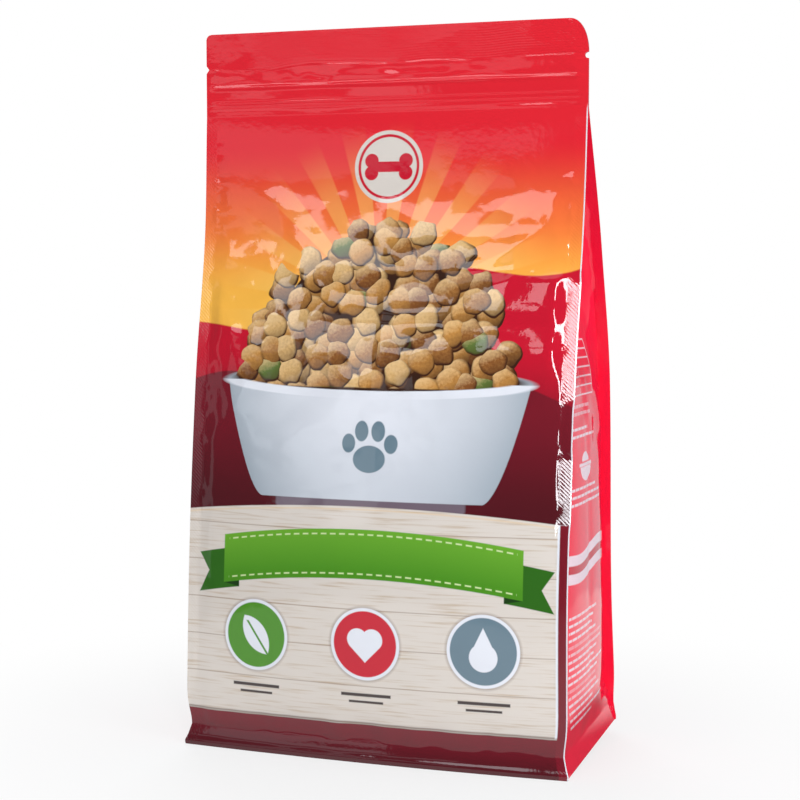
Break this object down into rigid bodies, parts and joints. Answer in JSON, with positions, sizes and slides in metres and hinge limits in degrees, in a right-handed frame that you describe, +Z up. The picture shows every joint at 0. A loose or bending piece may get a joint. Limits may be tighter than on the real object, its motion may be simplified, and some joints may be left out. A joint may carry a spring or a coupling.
{
  "type": "pet food bag",
  "caption": "Filled, heat-sealed flat-bottom pouch of glossy printed film with tucked side gussets, fin-sealed edges, a press-to-close zip header and tear notches.",
  "frame": {"origin": "middle of the flat base panel, on the floor", "axes": "+Z up to the header's top edge, front panel towards -Y, +X to the right seen from the front"},
  "size_m": [0.201, 0.1106, 0.362],
  "materials": {
    "printed_film": "glossy laminated film, printed in red, orange, cream and maroon fields"
  },
  "bodies": {
    "root": {"food_bag": "printed_film"}
  },
  "joints": []
}
